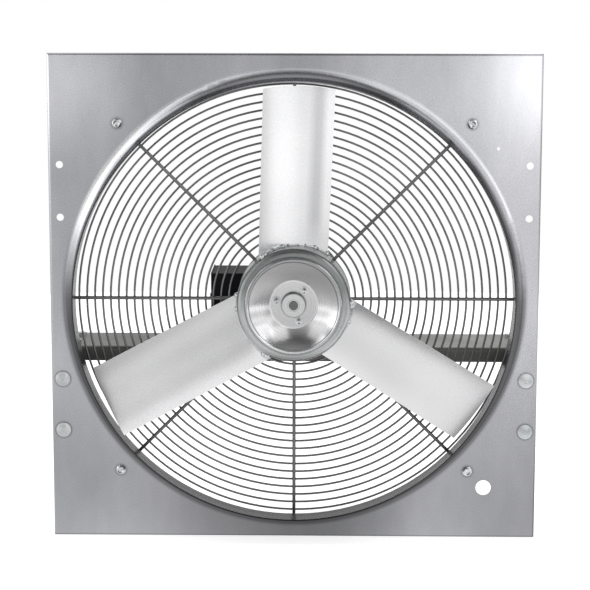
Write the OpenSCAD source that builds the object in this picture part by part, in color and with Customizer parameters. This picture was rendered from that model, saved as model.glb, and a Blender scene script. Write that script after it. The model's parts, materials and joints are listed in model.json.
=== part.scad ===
// Direct-drive wall fan: a square galvanised panel with a drawn venturi collar, a three-blade
// propeller on a spun hub, a spiral wire guard and a cradle-mounted motor on a cross platform.
// X runs to the right, Y from the discharge side to the motor side, Z up, all in millimetres.
// The origin is where the shaft axis crosses the panel's front face.

/* [Panel] */
// Side of the square panel
panel_side = 698.5; // [690:0.5:840]
// Panel sheet thickness
panel_t = 1.6; // [1:0.1:2.5]
// Depth of the return flange round the panel
panel_flange = 12.7; // [9:0.1:25]
// Inside radius of the panel's edge bends
panel_bend_r = 2; // [1:0.5:4]
// Radius of the fillet between panel and collar
collar_fillet_r = 17.7; // [12:0.1:20]
// How far the collar stands out in front of the panel
collar_depth = 50; // [40:1:70]

/* [Propeller] */
// Diameter over the blade tips
prop_d = 609.6; // [500:0.1:615]
// Gap between a blade tip and the collar
tip_gap = 5.9; // [4:0.1:12]
// Number of blades
blade_count = 3; // [2:1:4]
// Blade chord, straight across from edge to edge
blade_chord = 110; // [90:1:120]
// Blade angle at the root
pitch_root = 28; // [20:1:32]
// Blade angle at the tip
pitch_tip = 24; // [18:1:30]
// Radius to which the blades are rolled
camber_r = 180; // [150:1:260]
// How far each tip leans towards its clockwise side
tip_lean = 7.7; // [0:0.1:12]
// Blade sheet thickness
blade_t = 2; // [1.5:0.1:3]

/* [Hub] */
// Outside diameter of the drum that carries the blades
drum_d = 161; // [150:1:180]
// Drum sheet thickness
drum_t = 2.5; // [1.5:0.1:4]
// Outside diameter of the dish at its rolled rim
dish_d = 138; // [110:1:146]
// Depth of the dish from rim to floor
dish_depth = 22; // [12:0.5:26]
// Radius of the dish's flat floor
dish_floor_r = 33.5; // [32:0.5:38]
// Diameter of the bushing's barrel
bushing_d = 34; // [28:0.5:35]
// Shaft diameter
shaft_d = 12.7; // [10:0.1:19]

/* [Guard] */
// Distance between the turns of the spiral
guard_pitch = 11.36; // [9:0.01:16]
// Wire diameter of the spiral
guard_wire_d = 3; // [2:0.1:4]
// Wire diameter of the spokes and the inner ring
spoke_d = 4.8; // [4:0.1:6]
// Clear height of the spokes over the panel's back
guard_standoff = 6; // [4:0.5:12]
// Radius of the guard's inner ring
guard_ring_r = 78.5; // [70:0.5:84]

/* [Motor] */
// Motor diameter
motor_d = 140; // [125:1:142]
// Length of the motor's rolled shell
shell_length = 110; // [96:1:140]
// Height of the shaft over the platform
shaft_height = 76.2; // [74:0.1:92]

/* [Support] */
// Front-to-back width of the platform
platform_width = 120; // [110:1:140]
// Depth of the platform's turned-down flanges
platform_flange = 21; // [15:1:30]
// Sheet thickness of platform and arms
support_t = 2.7; // [2:0.1:4]
// Distance between the two support bolts on each side
support_pitch = 75; // [60:1:90]
// Height from the shaft axis to the nearer support bolt
support_first = 117; // [110:1:125]

/* [Hidden] */
$fn = 72;

// Clearances
fit_gap = 0.05;       // press or location fit between turned pieces of one body
run_gap = 0.04;       // running fit, on the radius
seat_gap = 0.3;       // between pieces that are drawn apart
hole_gap = 0.4;       // bolt in its hole, on the radius
weld_sink = 0.4;      // how deep crossing wires are welded into each other

// Panel
collar_r = prop_d / 2 + tip_gap;
crease_r = collar_r + panel_t + collar_fillet_r;
panel_half = panel_side / 2;
support_x = panel_half - 16.2;
support_z = [support_first, support_first + support_pitch];
carriage_r = 4.76;
carriage_head_r = 10.65;
carriage_head_h = 3;
carriage_dome_r = 34;
support_hole_r = 5.15;
support_bolt_length = 20;
wire_hole = [panel_half - 74.85, 74.25 - panel_half];
wire_hole_r = 11.1;
earth_hole = [panel_half - 61.25, panel_half - 133.05];
earth_hole_r = 2.4;

// Guard
guard_screw_r = 3.1;
guard_flange_r = 7;
guard_flange_h = 2.85;
guard_dome_r = 12;
guard_head_h = 5.6;
guard_screw_length = 16;
guard_eye_d = spoke_d + 0.3;
guard_eye_r = guard_screw_r + hole_gap + guard_eye_d / 2;
foot_y = panel_t + seat_gap + guard_eye_d / 2;
guard_screw_xz = (crease_r + 24.6) / sqrt(2);
spoke_y = panel_t + guard_standoff + spoke_d / 2;
spiral_y = spoke_y + spoke_d / 2 + guard_wire_d / 2 - weld_sink;
guard_ring_y = spoke_y + spoke_d - weld_sink;
spiral_start_r = guard_ring_r + 9.3;
guard_outer_r = crease_r + 4;
half_turns = floor(2 * (guard_outer_r - spiral_start_r) / guard_pitch);
guard_rim_r = spiral_start_r + half_turns * guard_pitch / 2;

// Propeller and hub
prop_r = prop_d / 2;
drum_r = drum_d / 2;
drum_rear = 1;
blade_mid_y = -29;
blade_root_gap = 0.2;
weld_leg = 3;
stitch_z = [-47, -29, -5, 16, 32];
stitch_run = 12;
dish_t = 1.2;
dish_floor_y = -44;
rim_bead_r = 3.4;
rim_r = dish_d / 2 - rim_bead_r;
rim_y = dish_floor_y - dish_depth + rim_bead_r;
dish_sag = 1.5;       // how far the wall bows back from a straight cone
dish_edge_r = 3;      // fillet round the floor
drum_front = rim_y + rim_bead_r;
drum_lip_r = rim_r - 1;
drum_shoulder_r = min(9, drum_r - rim_r - 3);
bushing_r = bushing_d / 2;
bushing_front = dish_floor_y - 12;
bushing_rear = -12;
flange_r = dish_floor_r - 1;
flange_rear = dish_floor_y + dish_t + 4.8;
shaft_r = shaft_d / 2;
shaft_front = bushing_front + 0.5;
bushing_chamfer = 0.6;
set_screw_y = -24;
hub_screw_pcd = 49.4;
hub_screw_angles = [53, 167, 287];
hub_screw_r = 2.4;
hub_screw_flange_r = 6;
hub_screw_flange_t = 1.3;
hub_screw_head = 5.4;

// Motor
motor_r = motor_d / 2;
motor_front = 24;
shell_t = 1.8;
shell_in_r = motor_r - shell_t;
bell_depth = 14;
bell_wall = 4;
nose_length = 12;
nose_r = 19;
bearing_r = 11;
shell_half = shell_length / 2;
bell_face = shell_half + bell_depth;
nose_end = bell_face + nose_length;
motor_mid_y = motor_front + nose_end;
core_half = 30;
bore_r = 39;
air_gap = 0.5;
slot_count = 24;
tie_r = shell_in_r - 4.5;
tie_rod_r = 2.4;
tie_seat = shell_half + 9;
cradle_half = nose_end + 1;
ring_y = nose_end - 6;
ring_seat_r = 27;
ring_lip_r = 29.5;
ring_half = 5;
cradle_t = 3;
cradle_side = 65;
cradle_top = -shaft_height + cradle_t;
cradle_bolt_x = 54;
cradle_bolt_y = 35;
strap_screw_x = 39;
strap_t = 2;
ear_out = 46;
ear_half = 4;

// Support
platform_front = motor_mid_y - 66;
arm_x = panel_half - panel_t - panel_bend_r - 0.2;
arm_inner_x = support_x - 13;
arm_top = -shaft_height - support_t;
arm_foot = -(support_z[1] + 16);
platform_y = [platform_front, platform_front + platform_width];
platform_half = arm_x - support_t - seat_gap;
platform_bend_r = 3;
ledge_inner_x = platform_half - 38;
ledge_bolt_x = platform_half - 21;
ledge_bolt_y = [platform_y[0] + 28, platform_y[1] - 28];
arm_rear = platform_y[1] - platform_bend_r - support_t - 1;
ledge_front = platform_y[0] + platform_bend_r + support_t + 1;

// Conduit box
box_x = [-(motor_r + 51), 13 - motor_r];
box_y = [motor_mid_y + 15 - shell_half, motor_mid_y + shell_half - 10];
box_z = [-40, 28];
box_wall = 1.6;

// ---------- helpers ----------

// A cylinder along Y from y0 to y1 at (x, z)
module rod(x, z, y0, y1, r) {
    translate([x, y0, z]) rotate([-90, 0, 0]) cylinder(h = y1 - y0, r = r);
}

// A hexagonal prism along Y, flats across given
module hex_rod(x, z, y0, y1, flats) {
    translate([x, y0, z]) rotate([-90, 0, 0]) cylinder(h = y1 - y0, r = flats / sqrt(3), $fn = 6);
}

// A hexagonal screw head with a round dimple in its face, standing forward of y0 along -Y
module dimpled_head(x, z, y0, height, flats) {
    ball_r = 0.62 * flats;
    depth = 0.2 * flats;
    difference() {
        hex_rod(x, z, y0 - height, y0, flats);
        translate([x, y0 - height + depth - ball_r, z]) sphere(r = ball_r, $fn = 96);
    }
}

// A vertical cylinder from z0 to z1 at (x, y)
module post(x, y, z0, z1, r) {
    translate([x, y, z0]) cylinder(h = z1 - z0, r = r);
}

// A vertical hexagonal prism
module hex_post(x, y, z0, z1, flats) {
    translate([x, y, z0]) cylinder(h = z1 - z0, r = flats / sqrt(3), $fn = 6);
}

// A box given by its ranges along X, Y and Z
module block(x, y, z) {
    translate([x[0], y[0], z[0]]) cube([x[1] - x[0], y[1] - y[0], z[1] - z[0]]);
}

// Turns a profile drawn as (radius, y) about the shaft axis
module revolve() {
    rotate([-90, 0, 0]) rotate_extrude($fn = 144) children();
}

// A rectangle in a revolve's profile
module band(r, y) {
    translate([r[0], y[0]]) square([r[1] - r[0], y[1] - y[0]]);
}

// Turns its children about the shaft axis, counter-clockwise as seen from the front
module around(angle) {
    rotate([0, -angle, 0]) children();
}

// Both ends of the motor, with children drawn as distances from its middle
module both_ends() {
    translate([0, motor_mid_y, 0]) {
        children();
        mirror([0, 1, 0]) children();
    }
}

// A straight wire between two points of the XY plane
module wire(from, to, d) {
    translate([from[0], from[1], 0]) rotate([0, 0, atan2(to[1] - from[1], to[0] - from[0])])
        rotate([0, 90, 0]) cylinder(h = norm(to - from), d = d);
}

// A sharp bend between two wires, a little swollen as the metal is squeezed there
module knuckle(at, d) {
    translate([at[0], at[1], 0]) sphere(d = d + 0.4, $fn = 48);
}

// A cylinder whose axis runs through two points, lengthened by extra at both ends
module axis_cylinder(from, to, r, extra) {
    run = to - from;
    length = norm(run);
    translate(from) rotate([0, acos(run[2] / length), atan2(run[1], run[0])])
        translate([0, 0, -extra]) cylinder(h = length + 2 * extra, r = r, $fn = 180);
}

// ---------- panel ----------

// A block whose front edges on the left and right are rounded
module edged_block(half, front, back, r) {
    linear_extrude(2 * half, center = true) {
        translate([-half, front + r]) square([2 * half, back - front - r]);
        translate([-half + r, front]) square([2 * (half - r), back - front]);
        for (side = [-1, 1]) translate([side * (half - r), front + r]) circle(r);
    }
}

module tray(half, front, back, r) {
    intersection() {
        edged_block(half, front, back, r);
        rotate([0, 90, 0]) edged_block(half, front, back, r);
    }
}

module collar_profile() {
    band([collar_r, collar_r + panel_t], [-collar_depth, -collar_fillet_r]);
    intersection() {
        translate([crease_r, -collar_fillet_r]) difference() {
            circle(collar_fillet_r + panel_t, $fn = 144);
            circle(collar_fillet_r, $fn = 144);
        }
        band([collar_r, crease_r], [-collar_fillet_r, panel_t]);
    }
}

module wall_panel() {
    color("silver") {
        difference() {
            tray(panel_half, 0, panel_flange, panel_bend_r + panel_t);
            tray(panel_half - panel_t, panel_t, panel_flange + 1, panel_bend_r);
            translate([0, -1, 0]) rotate([-90, 0, 0]) cylinder(h = panel_t + 2, r = crease_r, $fn = 144);
            for (x = [-support_x, support_x], z = support_z, up = [-1, 1])
                rod(x, up * z, -1, panel_t + 1, support_hole_r);
            for (x = [-1, 1], z = [-1, 1])
                rod(x * guard_screw_xz, z * guard_screw_xz, -1, panel_t + 1, guard_screw_r + hole_gap);
            rod(wire_hole[0], wire_hole[1], -1, panel_t + 1, wire_hole_r);
            rod(earth_hole[0], earth_hole[1], -1, panel_t + 1, earth_hole_r);
        }
        revolve() collar_profile();
    }
}

// ---------- guard ----------

// Half-turn arcs about two centres, each half a pitch wider than the last, make a true spiral
module guard_spiral() {
    color("dimgray") translate([0, spiral_y, 0]) for (i = [0 : half_turns - 1]) {
        side = i % 2 == 0 ? 1 : -1;
        translate([-side * guard_pitch / 4, 0, 0]) rotate([90, 0, 0]) rotate([0, 0, i % 2 == 0 ? 0 : 180])
            rotate_extrude(angle = 180, $fn = 144)
                translate([spiral_start_r + guard_pitch * (i / 2 + 1 / 4), 0])
                    circle(d = guard_wire_d, $fn = 16);
    }
}

module guard_inner_ring() {
    color("dimgray") revolve() translate([guard_ring_r, guard_ring_y]) circle(d = spoke_d, $fn = 24);
}

// A level spoke from the inner ring to past the last turn
module short_spoke() {
    wire([guard_ring_r, spoke_y], [guard_rim_r + 3, spoke_y], spoke_d);
}

// A long spoke steps down to the panel at 45 degrees and ends in a coined eye round its screw
module long_spoke() {
    screw_r = guard_screw_xz * sqrt(2);
    step = [guard_rim_r + 1, spoke_y];
    foot = [step[0] + spoke_y - foot_y, foot_y];
    wire([guard_ring_r, spoke_y], step, spoke_d);
    wire(step, foot, spoke_d);
    wire(foot, [screw_r - guard_eye_r, foot_y], spoke_d);
    knuckle(step, spoke_d);
    knuckle(foot, spoke_d);
    translate([screw_r, foot_y, 0]) rotate([90, 0, 0]) rotate_extrude()
        translate([guard_eye_r, 0]) circle(d = guard_eye_d, $fn = 24);
}

module guard_spokes() {
    color("dimgray") for (i = [0 : 3]) {
        around(90 * i) short_spoke();
        around(90 * i + 45) long_spoke();
    }
}

module guard_screws() {
    color("gainsboro") for (x = [-1, 1], z = [-1, 1]) {
        translate([x * guard_screw_xz, 0, z * guard_screw_xz]) rotate([90, 0, 0]) intersection() {
            translate([0, 0, guard_flange_h - guard_dome_r]) sphere(r = guard_dome_r, $fn = 96);
            cylinder(h = 6, r = guard_flange_r);
        }
        dimpled_head(x * guard_screw_xz, z * guard_screw_xz, -0.5, guard_head_h - 0.5, 9.5);
        rod(x * guard_screw_xz, z * guard_screw_xz, 0, guard_screw_length, guard_screw_r);
    }
}

module guard_nuts() {
    nut_y = foot_y + guard_eye_d / 2;
    color("gainsboro") for (x = [-1, 1], z = [-1, 1]) difference() {
        union() {
            rod(x * guard_screw_xz, z * guard_screw_xz, nut_y, nut_y + 1.5, 8);
            hex_rod(x * guard_screw_xz, z * guard_screw_xz, nut_y + 1.5, nut_y + 6.5, 11.1);
        }
        rod(x * guard_screw_xz, z * guard_screw_xz, nut_y - 1, nut_y + 8, guard_screw_r + fit_gap);
    }
}

// ---------- support ----------

// The right arm: a flange on the panel, a tapering web to the rear and a ledge for the platform
module support_arm() {
    difference() {
        union() {
            block([arm_inner_x, arm_x], [panel_t, panel_t + support_t], [arm_foot, arm_top]);
            translate([arm_x - support_t, 0, 0]) rotate([90, 0, 90]) linear_extrude(support_t) polygon([
                [panel_t, arm_foot], [panel_t + 22, arm_foot], [arm_rear, arm_top - 26],
                [arm_rear, arm_top], [panel_t, arm_top]
            ]);
            block([ledge_inner_x, arm_x], [ledge_front, arm_rear], [arm_top - support_t, arm_top]);
        }
        for (z = support_z) rod(support_x, -z, panel_t - 1, panel_t + support_t + 1, support_hole_r);
        for (y = ledge_bolt_y) post(ledge_bolt_x, y, arm_top - support_t - 1, arm_top + 1, 4);
    }
}

module support_arm_right() {
    color("darkgray") support_arm();
}

module support_arm_left() {
    color("darkgray") mirror([1, 0, 0]) support_arm();
}

module carriage_bolts() {
    color("gainsboro") for (x = [-support_x, support_x], z = support_z) {
        translate([x, 0, -z]) rotate([90, 0, 0]) intersection() {
            translate([0, 0, carriage_head_h - carriage_dome_r]) sphere(r = carriage_dome_r, $fn = 96);
            cylinder(h = 6, r = carriage_head_r);
        }
        rod(x, -z, 0, support_bolt_length, carriage_r);
    }
}

module carriage_nuts() {
    nut_y = panel_t + support_t;
    color("gainsboro") for (x = [-support_x, support_x], z = support_z) difference() {
        union() {
            rod(x, -z, nut_y, nut_y + 2, 9.2);
            hex_rod(x, -z, nut_y + 2, nut_y + 10, 14.3);
        }
        rod(x, -z, nut_y - 1, nut_y + 11, carriage_r + fit_gap);
    }
}

// Section of the platform in Y and Z: a web with two turned-down flanges
module platform_section() {
    outer_r = platform_bend_r + support_t;
    top = -shaft_height;
    translate([platform_y[0] + outer_r, top - support_t]) square([platform_width - 2 * outer_r, support_t]);
    for (side = [0, 1]) {
        centre_y = side == 0 ? platform_y[0] + outer_r : platform_y[1] - outer_r;
        wall_y = side == 0 ? platform_y[0] : platform_y[1] - support_t;
        translate([wall_y, top - platform_flange]) square([support_t, platform_flange - outer_r]);
        intersection() {
            translate([centre_y, top - outer_r]) difference() {
                circle(outer_r);
                circle(platform_bend_r);
            }
            translate([side == 0 ? platform_y[0] : centre_y, top - outer_r]) square(outer_r);
        }
    }
}

module motor_platform() {
    color("gray") difference() {
        translate([-platform_half, 0, 0]) rotate([90, 0, 90]) linear_extrude(2 * platform_half)
            platform_section();
        for (x = [-cradle_bolt_x, cradle_bolt_x], y = [-cradle_bolt_y, cradle_bolt_y])
            post(x, motor_mid_y + y, -shaft_height - support_t - 1, -shaft_height + 1, 4);
        for (x = [-ledge_bolt_x, ledge_bolt_x], y = ledge_bolt_y)
            post(x, y, -shaft_height - support_t - 1, -shaft_height + 1, 4);
    }
}

// A 5/16 inch bolt standing head up on a face at z
module bolt_down(x, y, z, length) {
    hex_post(x, y, z, z + 5, 12.7);
    post(x, y, z - length, z, 3.6);
}

module nut_under(x, y, z) {
    difference() {
        hex_post(x, y, z - 6.5, z, 12.7);
        post(x, y, z - 7.5, z + 1, 3.6 + fit_gap);
    }
}

module platform_bolts() {
    color("gainsboro") for (x = [-ledge_bolt_x, ledge_bolt_x], y = ledge_bolt_y)
        bolt_down(x, y, -shaft_height, 16);
}

module platform_nuts() {
    color("gainsboro") for (x = [-ledge_bolt_x, ledge_bolt_x], y = ledge_bolt_y)
        nut_under(x, y, arm_top - support_t);
}

// ---------- motor mount ----------

// One upright of the cradle, in the XZ plane, with its half-round seat and two ears
module cradle_upright() {
    rotate([90, 0, 0]) linear_extrude(cradle_t, center = true) difference() {
        polygon([
            [-ear_out - 4, cradle_top - 1], [ear_out + 4, cradle_top - 1], [ear_out, -20], [ear_out, 0],
            [-ear_out, 0], [-ear_out, -20]
        ]);
        circle(ring_seat_r + fit_gap);
    }
    for (side = [-1, 1]) difference() {
        translate([side * (ring_lip_r + ear_out + seat_gap) / 2, 0, -cradle_t / 2])
            cube([ear_out - ring_lip_r - seat_gap, 2 * ear_half, cradle_t], center = true);
        post(side * strap_screw_x, 0, -cradle_t - 1, 1, 2.5);
    }
}

module motor_cradle() {
    color("dimgray") difference() {
        union() {
            block([-cradle_side, cradle_side], [motor_mid_y - cradle_half, motor_mid_y + cradle_half],
                [-shaft_height, cradle_top]);
            for (side = [-1, 1])
                translate([side * (cradle_side - cradle_t / 2), motor_mid_y, cradle_top + 3.5])
                    cube([cradle_t, 2 * cradle_half, 8], center = true);
            both_ends() translate([0, ring_y, 0]) cradle_upright();
        }
        for (x = [-cradle_bolt_x, cradle_bolt_x], y = [-cradle_bolt_y, cradle_bolt_y])
            post(x, motor_mid_y + y, -shaft_height - 1, cradle_top + 1, 4);
        both_ends() for (side = [-1, 1])
            translate([0, ring_y, 0]) post(side * strap_screw_x, 0, -cradle_t - 9, 1, 2.5);
    }
}

module cradle_rings() {
    color("black") both_ends() revolve() difference() {
        band([nose_r + fit_gap, ring_lip_r], [ring_y - ring_half, ring_y + ring_half]);
        band([ring_seat_r, ring_lip_r + 1], [ring_y - cradle_t / 2 - 0.1, ring_y + cradle_t / 2 + 0.1]);
    }
}

module cradle_straps() {
    color("gray") both_ends() translate([0, ring_y, 0]) difference() {
        union() {
            rotate([90, 0, 0]) linear_extrude(2 * ear_half, center = true) intersection() {
                difference() {
                    circle(ring_lip_r + fit_gap + strap_t);
                    circle(ring_lip_r + fit_gap);
                }
                translate([-60, 0]) square([120, 60]);
            }
            for (side = [-1, 1]) translate([side * (ring_lip_r + 0.5 + ear_out) / 2, 0, strap_t / 2])
                cube([ear_out - ring_lip_r - 0.5, 2 * ear_half, strap_t], center = true);
        }
        for (side = [-1, 1]) post(side * strap_screw_x, 0, -1, strap_t + 1, 2.5);
    }
}

module strap_screws() {
    color("gainsboro") both_ends() for (side = [-1, 1]) translate([0, ring_y, 0]) {
        hex_post(side * strap_screw_x, 0, strap_t, strap_t + 3.5, 8);
        post(side * strap_screw_x, 0, -10, strap_t, 2.1);
    }
}

module motor_bolts() {
    color("gainsboro") for (x = [-cradle_bolt_x, cradle_bolt_x], y = [-cradle_bolt_y, cradle_bolt_y])
        bolt_down(x, motor_mid_y + y, cradle_top, 18);
}

module motor_nuts() {
    color("gainsboro") for (x = [-cradle_bolt_x, cradle_bolt_x], y = [-cradle_bolt_y, cradle_bolt_y])
        nut_under(x, motor_mid_y + y, -shaft_height - support_t);
}

// ---------- motor ----------

module motor_shell() {
    color("black") revolve() band([shell_in_r, motor_r], [motor_mid_y - shell_half, motor_mid_y + shell_half]);
}

// An end bell with its spigot in the shell, drawn outwards from the motor's middle
module end_bell() {
    difference() {
        revolve() polygon([
            [bearing_r, shell_half + 2], [nose_r + 6, shell_half + 2], [nose_r + 8, bell_face - bell_wall],
            [motor_r - 14, bell_face - bell_wall], [shell_in_r - 5, shell_half + 3],
            [shell_in_r - 5, shell_half - 5], [shell_in_r - fit_gap, shell_half - 5],
            [shell_in_r - fit_gap, shell_half], [motor_r, shell_half],
            [motor_r, shell_half + 4], [motor_r - 10, bell_face], [nose_r, bell_face], [nose_r, nose_end],
            [shaft_r + 1, nose_end], [shaft_r + 1, nose_end - 3], [bearing_r, nose_end - 3]
        ]);
        for (i = [0 : 3]) around(45 + 90 * i) {
            rod(tie_r, 0, shell_half - 6, bell_face, tie_rod_r + 0.3);
            rod(tie_r, 0, tie_seat, bell_face + 1, 5.2);
        }
    }
}

module front_end_bell() {
    color("black") translate([0, motor_mid_y, 0]) mirror([0, 1, 0]) end_bell();
}

module rear_end_bell() {
    color("black") translate([0, motor_mid_y, 0]) end_bell();
}

// Four long bolts that draw the end bells together
module through_bolts() {
    color("gainsboro") translate([0, motor_mid_y, 0]) for (i = [0 : 3]) around(45 + 90 * i) {
        rod(tie_r, 0, -tie_seat - 4, tie_seat + 6, tie_rod_r);
        hex_rod(tie_r, 0, -tie_seat - 4, -tie_seat, 7);
        hex_rod(tie_r, 0, tie_seat, tie_seat + 4, 7);
    }
}

module slot_ring(r0, r1, width, length) {
    for (i = [0 : slot_count - 1]) around(360 * i / slot_count)
        translate([(r0 + r1) / 2, 0, 0]) cube([r1 - r0, length, width], center = true);
}

module stator_core() {
    color("slategray") translate([0, motor_mid_y, 0]) difference() {
        revolve() band([bore_r, shell_in_r - fit_gap], [-core_half, core_half]);
        for (i = [0 : 3]) around(45 + 90 * i) rod(tie_r, 0, -core_half - 1, core_half + 1, tie_rod_r + 0.5);
        for (i = [0 : 3]) around(45 + 90 * i) translate([tie_r + 3, 0, 0])
            cube([6, 2 * core_half + 2, 2 * tie_rod_r + 1], center = true);
        slot_ring(bore_r + 2, bore_r + 16, 5, 2 * core_half + 2);
        slot_ring(bore_r - 1, bore_r + 3, 2, 2 * core_half + 2);
    }
}

module stator_windings() {
    color("peru") translate([0, motor_mid_y, 0]) {
        for (end = [-1, 1]) revolve() translate([bore_r + 9, end * (core_half + 8)]) circle(7.2, $fn = 48);
        slot_ring(bore_r + 3, bore_r + 15, 4, 2 * core_half + 6);
    }
}

module shaft_bearings() {
    color("goldenrod") both_ends() revolve()
        band([shaft_r + run_gap, bearing_r - fit_gap], [shell_half + 2, nose_end - 3 - fit_gap]);
}

// A drawn steel box whose inner side is cut to the shell's curve and whose outer side is open
module conduit_box() {
    color("black") difference() {
        block(box_x, box_y, box_z);
        block([box_x[0] - 1, -motor_r - 6], [box_y[0] + box_wall, box_y[1] - box_wall],
            [box_z[0] + box_wall, box_z[1] - box_wall]);
        rod(0, 0, box_y[0] - 1, box_y[1] + 1, motor_r + fit_gap);
    }
}

module conduit_box_cover() {
    color("black") difference() {
        block([box_x[0] - box_wall, box_x[0]], [box_y[0] - 1, box_y[1] + 1], [box_z[0] - 1, box_z[1] + 1]);
        for (y = [box_y[0] + 10, box_y[1] - 10])
            translate([box_x[0] - box_wall - 1, y, (box_z[0] + box_z[1]) / 2]) rotate([0, 90, 0])
                cylinder(h = box_wall + 2, r = 2.2);
    }
}

module cover_screws() {
    color("gainsboro") for (y = [box_y[0] + 10, box_y[1] - 10])
        translate([box_x[0] - box_wall, y, (box_z[0] + box_z[1]) / 2]) rotate([0, 90, 0]) {
            translate([0, 0, -2.4]) cylinder(h = 2.4, r = 4);
            cylinder(h = 12, r = 2);
        }
}

// ---------- rotor ----------

module motor_shaft() {
    color("lightgray") difference() {
        rod(0, 0, shaft_front, motor_mid_y + nose_end - 3.5, shaft_r);
        block([-shaft_r, shaft_r], [shaft_front - 1, bushing_rear], [shaft_r - 0.8, shaft_r + 1]);
    }
}

module rotor_core() {
    color("slategray") revolve()
        band([shaft_r + fit_gap, bore_r - air_gap], [motor_mid_y - core_half, motor_mid_y + core_half]);
}

// Cast end rings with short fins that stir the air inside the motor
module rotor_end_rings() {
    color("lightgray") both_ends() {
        revolve() band([bore_r - 14, bore_r - air_gap - 1], [core_half, core_half + 7]);
        for (i = [0 : 7]) around(45 * i) translate([bore_r - 10, core_half + 11, 0])
            cube([7, 8.2, 2.5], center = true);
    }
}

module hub_bushing() {
    flange_front = dish_floor_y + dish_t;
    color("darkgray") difference() {
        revolve() difference() {
            union() {
                band([shaft_r + fit_gap, bushing_r], [bushing_front, bushing_rear]);
                band([bushing_r - 1, flange_r], [flange_front, flange_rear]);
            }
            polygon([
                [shaft_r, bushing_front - 1], [shaft_r + bushing_chamfer + 1, bushing_front - 1],
                [shaft_r, bushing_front + bushing_chamfer]
            ]);
        }
        for (a = hub_screw_angles) around(a)
            rod(hub_screw_pcd / 2, 0, flange_front - 1, flange_rear + 1, hub_screw_r + 0.2);
        post(0, set_screw_y, 0, bushing_r + 1, 2.6);
    }
}

module hub_set_screw() {
    color("dimgray") difference() {
        post(0, set_screw_y, shaft_r - 0.7, bushing_r - 0.5, 2.5);
        hex_post(0, set_screw_y, bushing_r - 3.5, bushing_r, 2.5);
    }
}

// The drum that carries the blades: a tube with a rolled shoulder, whose lip seats the dish's bead
module hub_drum() {
    turn_r = drum_r - drum_shoulder_r;
    turn_y = drum_front + drum_shoulder_r;
    color("darkgray") revolve() {
        band([drum_r - drum_t, drum_r], [turn_y, drum_rear]);
        band([drum_lip_r, turn_r], [drum_front, drum_front + drum_t]);
        intersection() {
            translate([turn_r, turn_y]) difference() {
                circle(drum_shoulder_r);
                circle(drum_shoulder_r - drum_t);
            }
            band([turn_r, drum_r], [drum_front, turn_y]);
        }
    }
}

// The dish wall in section: a fillet out of the floor, then an arc bowed back by dish_sag
module dish_wall() {
    lean = atan2(dish_floor_y - rim_y, rim_r - dish_floor_r);
    start_turn = lean - 2 * atan(2 * dish_sag / norm([rim_r - dish_floor_r, dish_floor_y - rim_y]));
    edge_mid_r = dish_edge_r + dish_t / 2;
    edge_centre = [dish_floor_r, dish_floor_y - dish_edge_r];
    from = edge_centre + edge_mid_r * [sin(start_turn), cos(start_turn)];
    to = [rim_r, rim_y];
    half = norm(to - from) / 2;
    r = (half * half + dish_sag * dish_sag) / (2 * dish_sag);
    translate(edge_centre) intersection() {
        difference() {
            circle(dish_edge_r + dish_t, $fn = 72);
            circle(dish_edge_r, $fn = 72);
        }
        polygon([[0, 0], [0, 9], [9 * sin(start_turn), 9 * cos(start_turn)]]);
    }
    translate((from + to) / 2) rotate(atan2(to[1] - from[1], to[0] - from[0])) intersection() {
        translate([0, dish_sag - r]) difference() {
            circle(r + dish_t / 2, $fn = 360);
            circle(r - dish_t / 2, $fn = 360);
        }
        translate([-half, -4]) square([2 * half, 12]);
    }
}

module hub_dish() {
    color("whitesmoke") difference() {
        revolve() {
            band([bushing_r + 0.2, dish_floor_r], [dish_floor_y, dish_floor_y + dish_t]);
            dish_wall();
            translate([rim_r, rim_y]) circle(rim_bead_r, $fn = 36);
        }
        for (a = hub_screw_angles) around(a)
            rod(hub_screw_pcd / 2, 0, dish_floor_y - 1, dish_floor_y + dish_t + 1, hub_screw_r + 0.2);
    }
}

module hub_screws() {
    color("gainsboro") for (a = hub_screw_angles) around(a) {
        rod(hub_screw_pcd / 2, 0, dish_floor_y - hub_screw_flange_t, dish_floor_y, hub_screw_flange_r);
        dimpled_head(hub_screw_pcd / 2, 0, dish_floor_y - 0.5, hub_screw_head - 0.5, 8);
        rod(hub_screw_pcd / 2, 0, dish_floor_y, flange_rear + 7, hub_screw_r);
    }
}

module hub_nuts() {
    color("gainsboro") for (a = hub_screw_angles) around(a) difference() {
        hex_rod(hub_screw_pcd / 2, 0, flange_rear, flange_rear + 4, 8);
        rod(hub_screw_pcd / 2, 0, flange_rear - 1, flange_rear + 5, hub_screw_r + fit_gap);
    }
}

// Blade stations: share 0 is at the drum, share 1 at the tip circle
function pitch_at(share) = pitch_root + (pitch_tip - pitch_root) * share;
function middle_at(share) = -tip_lean * share;
function station_r(share) = drum_r + (prop_r - drum_r) * share;
function edge_at(share, side) = middle_at(share) + side * blade_chord / 2 * cos(pitch_at(share));
function edge_point(r, side) =
    let (share = (r - drum_r) / (prop_r - drum_r))
    [r, edge_at(0, side) + (edge_at(1, side) - edge_at(0, side)) * share];
// Centre of the rolled curve at a station
function roll_centre(share) =
    let (reach = sqrt(camber_r * camber_r - blade_chord * blade_chord / 4), a = pitch_at(share))
    [station_r(share), blade_mid_y - reach * cos(a), middle_at(share) - reach * sin(a)];

// The rolled sheet that a blade is cut from, grown by extra on both faces
module rolled_sheet(extra) {
    difference() {
        axis_cylinder(roll_centre(0), roll_centre(1), camber_r + blade_t / 2 + extra, 60);
        axis_cylinder(roll_centre(0), roll_centre(1), camber_r - blade_t / 2 - extra, 70);
    }
}

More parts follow.
